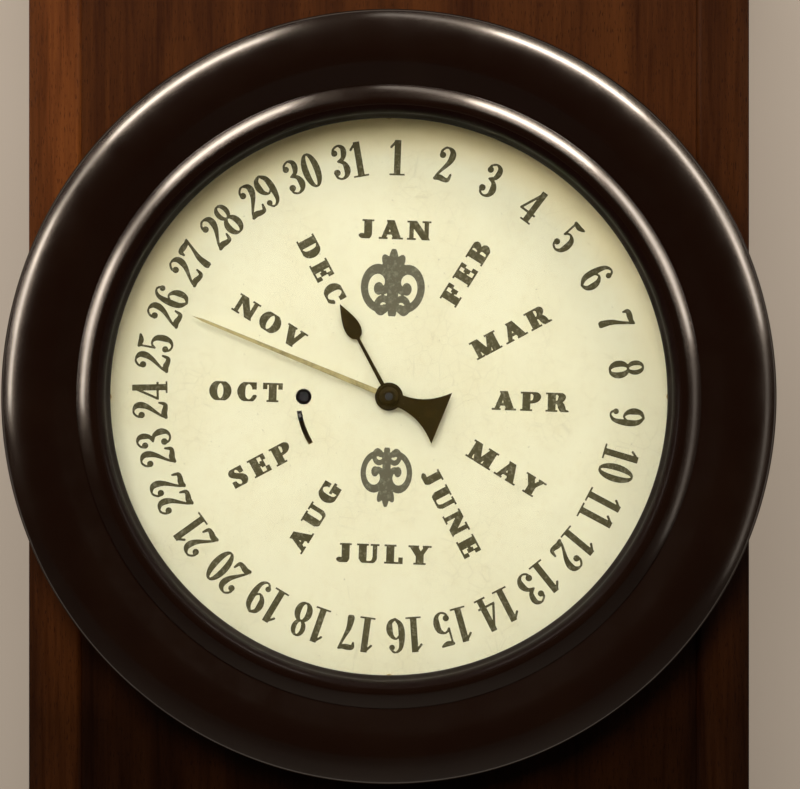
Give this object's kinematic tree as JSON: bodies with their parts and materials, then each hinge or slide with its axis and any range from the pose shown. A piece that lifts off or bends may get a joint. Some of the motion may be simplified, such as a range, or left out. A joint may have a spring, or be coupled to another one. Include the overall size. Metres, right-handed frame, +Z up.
{
  "type": "wall calendar clock",
  "caption": "Wall clock with a calendar dial: turned black round glazed door over a cream dial of dates and months, on a narrow mahogany case with a pendulum movement and calendar work inside.",
  "frame": {"origin": "on the axis of the dial, in the wall plane at the back of the case", "axes": "+X to the right as the dial is seen, +Z up, -Y out of the wall towards the viewer"},
  "size_m": [0.404, 0.1364, 0.5115],
  "materials": {
    "ebonised_wood": "black stained and french polished, glossy",
    "mahogany": "red-brown, waxed",
    "softwood": "bare sawn softwood",
    "brass": "aged brass",
    "steel": "bright steel",
    "blued_steel": "blued nearly black",
    "dial_paint": "cream paint, aged, matt",
    "glass": "clear flat glass"
  },
  "bodies": {
    "case": {"backboard": "softwood", "left_side": "mahogany", "right_side": "mahogany", "top_board": "mahogany", "bottom_board": "mahogany", "upper_panel": "mahogany", "lower_panel": "mahogany", "left_cheek": "mahogany", "right_cheek": "mahogany", "left_stile": "mahogany", "right_stile": "mahogany", "hanger_plate": "brass", "hanger_screws": "steel", "hinge_case_leaf": "brass", "hinge_pin": "brass", "hook_screw": "steel", "dial_plate": "dial_paint", "dial_screws": "brass", "movement_posts": "brass", "back_plate": "brass", "front_plate": "brass", "plate_pillars": "brass", "pillar_nuts": "steel", "suspension_post": "brass", "click": "steel", "calendar_plate": "brass", "calendar_pillars": "brass", "wheel_studs": "steel", "date_jumper": "steel"},
    "door": {"round_frame": "ebonised_wood", "glass": "glass", "glass_bead": "ebonised_wood", "hinge_door_leaf": "brass", "hook_eye": "brass"},
    "hook": {"door_hook": "brass"},
    "date_work": {"date_arbor": "steel", "date_wheel": "brass", "date_hand": "blued_steel", "hand_nut": "brass"},
    "month_work": {"month_wheel": "brass", "month_hand": "blued_steel"},
    "idler_work": {"month_idler": "brass"},
    "lever_work": {"date_lever": "steel"},
    "pawl_work": {"date_pawl": "steel"},
    "great_work": {"great_wheel": "brass", "mainspring": "blued_steel"},
    "winding_work": {"winding_arbor": "steel", "ratchet_wheel": "steel"},
    "centre_work": {"centre_arbor": "steel", "centre_wheel": "brass"},
    "third_work": {"third_arbor": "steel", "third_wheel": "brass"},
    "escape_work": {"escape_arbor": "steel", "escape_wheel": "brass"},
    "reduction_work": {"reduction_wheel": "brass"},
    "day_work": {"day_wheel": "brass"},
    "pendulum_work": {"verge": "steel", "suspension_spring": "steel", "pendulum_rod": "brass", "pendulum_bob": "brass"}
  },
  "joints": [
    {"name": "door_swing", "type": "hinge", "parent": "case", "child": "door", "pos_m": [0.1941, -0.0983, 0], "axis": [0, 0, 1], "range_deg": [0, 110]},
    {"name": "hook_turn", "type": "hinge", "parent": "case", "child": "hook", "pos_m": [-0.195, -0.062, 0.0055], "axis": [-1, 0, 0], "range_deg": [-30, 45]},
    {"name": "date_turn", "type": "hinge", "parent": "case", "child": "date_work", "pos_m": [0, -0.084, 0], "axis": [0, -1, 0], "continuous": true},
    {"name": "month_turn", "type": "hinge", "parent": "case", "child": "month_work", "pos_m": [0, -0.095, 0], "axis": [0, -1, 0], "continuous": true},
    {"name": "idler_turn", "type": "hinge", "parent": "case", "child": "idler_work", "pos_m": [0.009, -0.086, 0.01559], "axis": [0, -1, 0], "continuous": true},
    {"name": "lever_turn", "type": "hinge", "parent": "case", "child": "lever_work", "pos_m": [0, -0.077, 0], "axis": [0, -1, 0], "range_deg": [0, 15]},
    {"name": "pawl_turn", "type": "hinge", "parent": "lever_work", "child": "pawl_work", "pos_m": [-0.03038, -0.0808, -0.01289], "axis": [0, -1, 0], "range_deg": [0, 12]},
    {"name": "winding_turn", "type": "hinge", "parent": "case", "child": "winding_work", "pos_m": [-0.045, -0.06, 0], "axis": [0, -1, 0], "continuous": true},
    {"name": "third_turn", "type": "hinge", "parent": "case", "child": "third_work", "pos_m": [0.01364, -0.05, -0.00115], "axis": [0, -1, 0], "continuous": true},
    {"name": "centre_turn", "type": "hinge", "parent": "case", "child": "centre_work", "pos_m": [-0.00827, -0.05, -0.01953], "axis": [0, -1, 0], "continuous": true},
    {"name": "great_turn", "type": "hinge", "parent": "case", "child": "great_work", "pos_m": [-0.045, -0.048, 0], "axis": [0, -1, 0], "continuous": true},
    {"name": "escape_turn", "type": "hinge", "parent": "case", "child": "escape_work", "pos_m": [0, -0.05, 0.01884], "axis": [0, -1, 0], "continuous": true},
    {"name": "reduction_turn", "type": "hinge", "parent": "case", "child": "reduction_work", "pos_m": [-0.00566, -0.072, -0.0343], "axis": [0, -1, 0], "continuous": true},
    {"name": "day_turn", "type": "hinge", "parent": "case", "child": "day_work", "pos_m": [0.01088, -0.074, -0.03722], "axis": [0, -1, 0], "continuous": true},
    {"name": "pendulum_swing", "type": "hinge", "parent": "case", "child": "pendulum_work", "pos_m": [0, -0.03, 0.03784], "axis": [0, -1, 0], "range_deg": [-4, 4]}
  ],
  "couplings": [
    {"joint": "month_turn", "follows": "date_turn", "ratio": 0.083333},
    {"joint": "idler_turn", "follows": "date_turn", "ratio": -0.25},
    {"joint": "centre_turn", "follows": "third_turn", "ratio": -0.1},
    {"joint": "great_turn", "follows": "third_turn", "ratio": 0.0083333},
    {"joint": "escape_turn", "follows": "third_turn", "ratio": -10},
    {"joint": "reduction_turn", "follows": "third_turn", "ratio": 0.025},
    {"joint": "day_turn", "follows": "third_turn", "ratio": -0.0041667}
  ]
}
